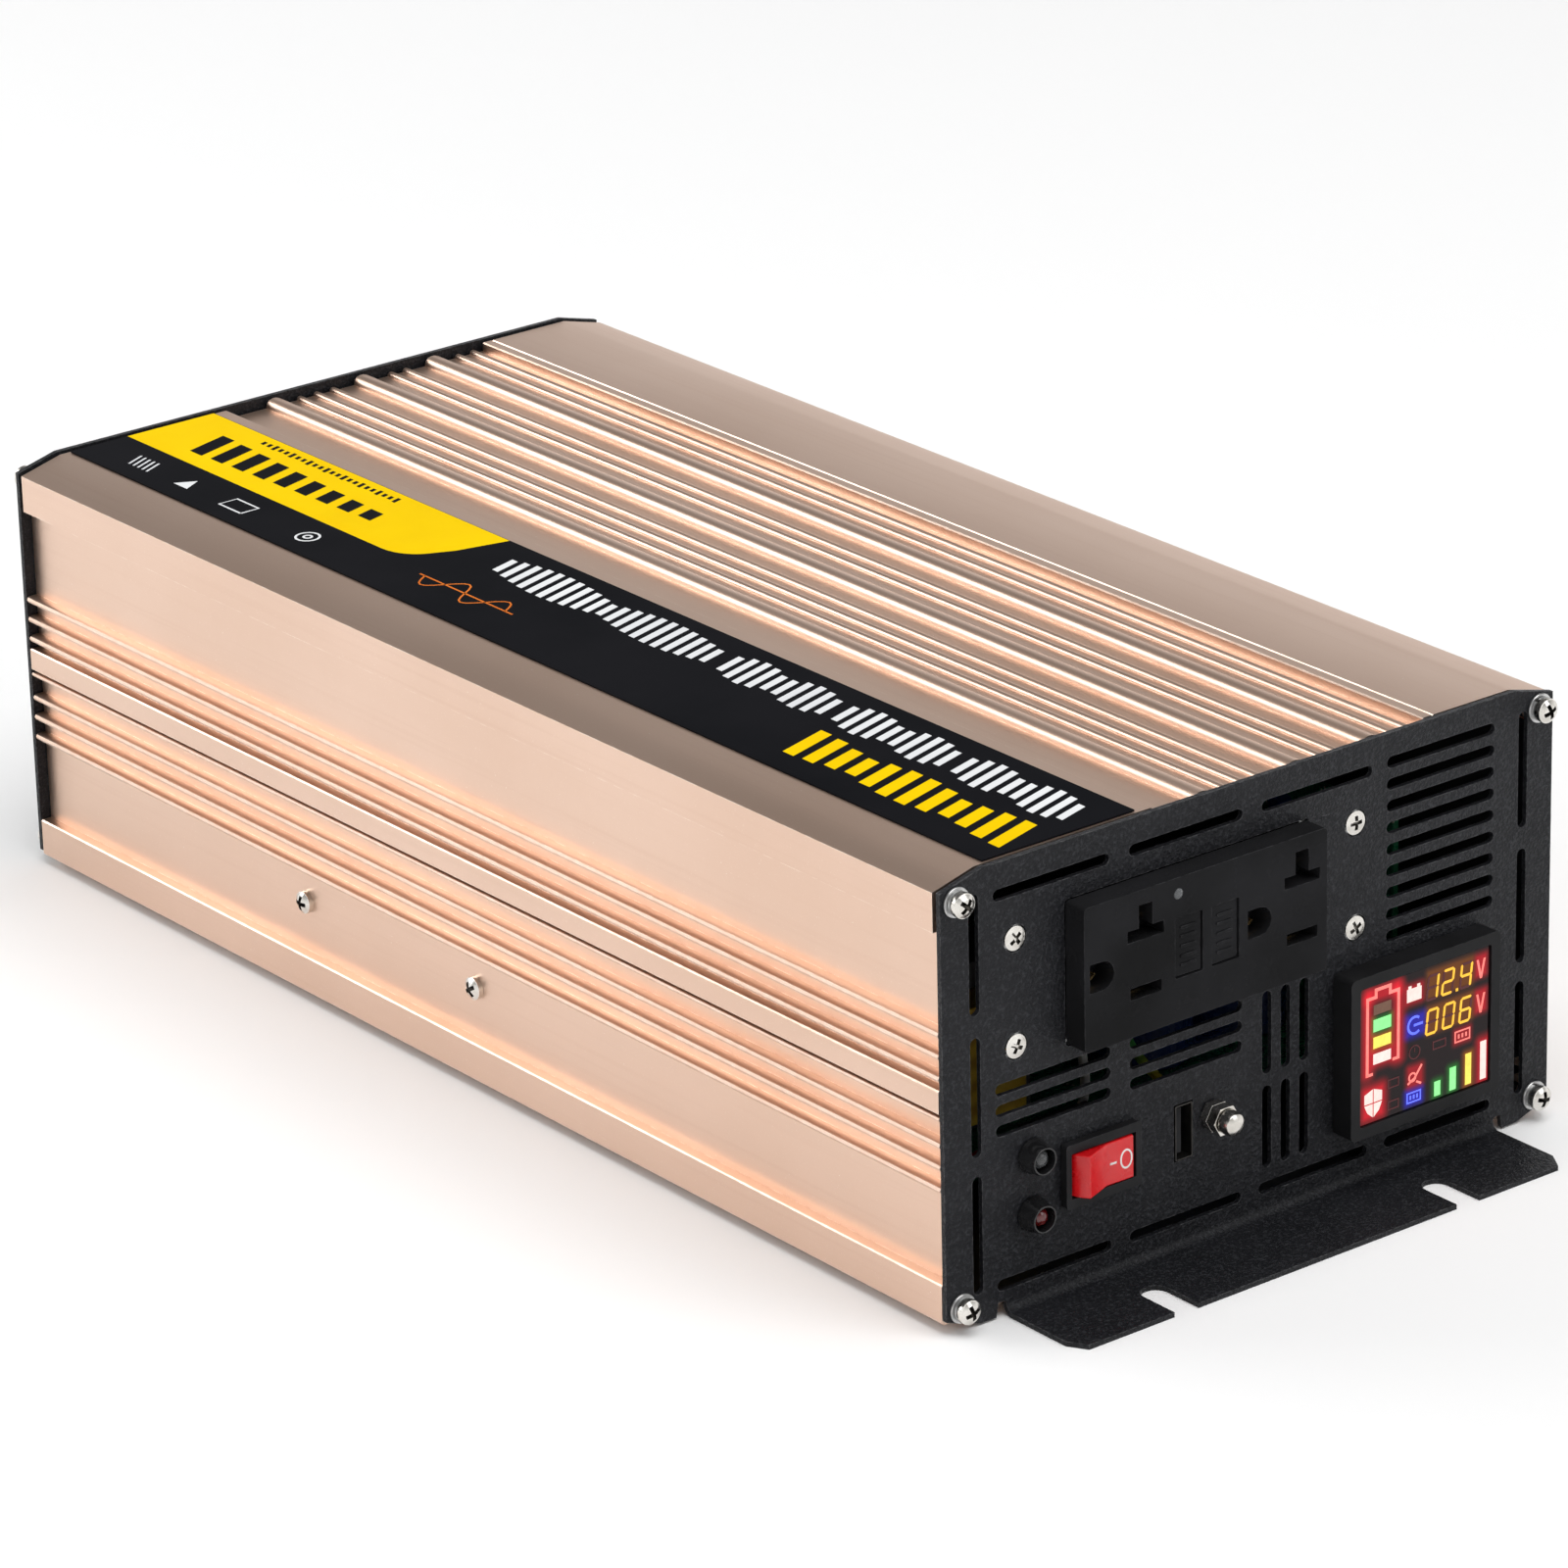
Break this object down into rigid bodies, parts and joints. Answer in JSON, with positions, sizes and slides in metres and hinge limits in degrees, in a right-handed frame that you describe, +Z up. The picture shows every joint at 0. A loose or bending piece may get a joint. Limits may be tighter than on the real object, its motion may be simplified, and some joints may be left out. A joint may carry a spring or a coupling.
{
  "type": "power inverter",
  "caption": "Ribbed aluminium inverter case between flanged end panels, with a duplex outlet, USB port, display, rocker switch, cooling fans and battery terminals.",
  "frame": {"origin": "on the floor under the middle of the case, at the undersides of the two feet", "axes": "+Y along the case from the outlet panel to the battery panel, +X to the right seen from the outlet end, +Z up"},
  "size_m": [0.175, 0.4, 0.105],
  "materials": {
    "anodised": "fine bead-blasted champagne anodising",
    "label": "gloss printed sheet",
    "powder_coat": "fine-textured black powder coat",
    "nickel": "bright nickel plate",
    "black_plastic": "semi-gloss moulded nylon",
    "zinc_steel": "zinc-plated steel",
    "smoked_glass": "smoked display window",
    "green_board": "solder-masked fibreglass board",
    "red_plastic": "gloss red moulding",
    "clear_lens": "clear lamp lens",
    "red_lens": "dark red lamp lens",
    "white_plastic": "white moulding",
    "brass": "turned brass",
    "fan_plastic": "satin black moulding",
    "bare_aluminium": "mill-finish aluminium",
    "transformer": "yellow tape over copper, ferrite core",
    "capacitor": "sleeved aluminium cans",
    "fuse_plastic": "translucent green fuse bodies",
    "copper": "bare copper bar"
  },
  "bodies": {
    "case": {"case_body": "anodised", "case_lid": "anodised", "top_label": "label", "front_panel": "powder_coat", "rear_panel": "powder_coat", "panel_screw_lower_left": "nickel", "panel_screw_upper_left": "nickel", "panel_screw_lower_right": "nickel", "panel_screw_upper_right": "nickel", "side_screw_left_1": "nickel", "side_screw_left_2": "nickel", "side_screw_right_1": "nickel", "side_screw_right_2": "nickel", "outlet_face": "black_plastic", "outlet_body": "black_plastic", "outlet_strap": "zinc_steel", "outlet_screw_1": "nickel", "outlet_screw_2": "nickel", "outlet_screw_3": "nickel", "outlet_screw_4": "nickel", "display_bezel": "black_plastic", "display_window": "smoked_glass", "display_board": "green_board", "switch_housing": "black_plastic", "power_lamp_holder": "black_plastic", "power_lamp": "clear_lens", "fault_lamp_holder": "black_plastic", "fault_lamp": "red_lens", "usb_shell": "nickel", "usb_tongue": "white_plastic", "earth_stud": "brass", "earth_lock_nut": "nickel", "earth_clamp_nut": "nickel", "earth_cap_nut": "nickel", "left_fan_frame": "fan_plastic", "right_fan_frame": "fan_plastic", "positive_insulator": "red_plastic", "negative_insulator": "black_plastic", "positive_stud": "brass", "negative_stud": "brass", "main_board": "green_board", "heat_bar_left": "bare_aluminium", "heat_bar_right": "bare_aluminium", "transformer_1": "transformer", "transformer_2": "transformer", "transformer_3": "transformer", "capacitor_bank": "capacitor", "fuse_bank": "fuse_plastic", "positive_bus_bar": "copper", "negative_bus_bar": "copper"},
    "rocker": {"switch_rocker": "red_plastic"},
    "test_button": {"test_button": "black_plastic"},
    "reset_button": {"reset_button": "black_plastic"},
    "left_rotor": {"left_fan_rotor": "fan_plastic"},
    "right_rotor": {"right_fan_rotor": "fan_plastic"},
    "positive_washer": {"positive_washer": "nickel"},
    "negative_washer": {"negative_washer": "nickel"},
    "positive_knob": {"positive_knob": "red_plastic"},
    "negative_knob": {"negative_knob": "black_plastic"}
  },
  "joints": [
    {"name": "rocker_tilt", "type": "hinge", "parent": "case", "child": "rocker", "pos_m": [-0.0452, -0.175, 0.0282], "axis": [0, 0, -1], "range_deg": [0, 20]},
    {"name": "test_button_press", "type": "slide", "parent": "case", "child": "test_button", "axis": [0, 1, 0], "range_m": [0, 0.0012], "stiffness_N_per_m": 900},
    {"name": "reset_button_press", "type": "slide", "parent": "case", "child": "reset_button", "axis": [0, 1, 0], "range_m": [0, 0.0012], "stiffness_N_per_m": 900},
    {"name": "left_fan_spin", "type": "hinge", "parent": "case", "child": "left_rotor", "pos_m": [-0.046, 0.166, 0.064], "axis": [0, 1, 0], "continuous": true},
    {"name": "right_fan_spin", "type": "hinge", "parent": "case", "child": "right_rotor", "pos_m": [0.046, 0.166, 0.064], "axis": [0, 1, 0], "continuous": true},
    {"name": "positive_washer_travel", "type": "slide", "parent": "case", "child": "positive_washer", "axis": [0, 1, 0], "range_m": [0, 0.00375]},
    {"name": "positive_knob_turn", "type": "hinge", "parent": "positive_washer", "child": "positive_knob", "pos_m": [0.026, 0.188, 0.0205], "axis": [0, 1, 0], "range_deg": [0, 1080]},
    {"name": "negative_washer_travel", "type": "slide", "parent": "case", "child": "negative_washer", "axis": [0, 1, 0], "range_m": [0, 0.00375]},
    {"name": "negative_knob_turn", "type": "hinge", "parent": "negative_washer", "child": "negative_knob", "pos_m": [-0.026, 0.188, 0.0205], "axis": [0, 1, 0], "range_deg": [0, 1080]}
  ],
  "couplings": [
    {"joint": "positive_knob_turn", "follows": "positive_washer_travel", "rad_per_m": 5026.5},
    {"joint": "negative_knob_turn", "follows": "negative_washer_travel", "rad_per_m": 5026.5}
  ]
}
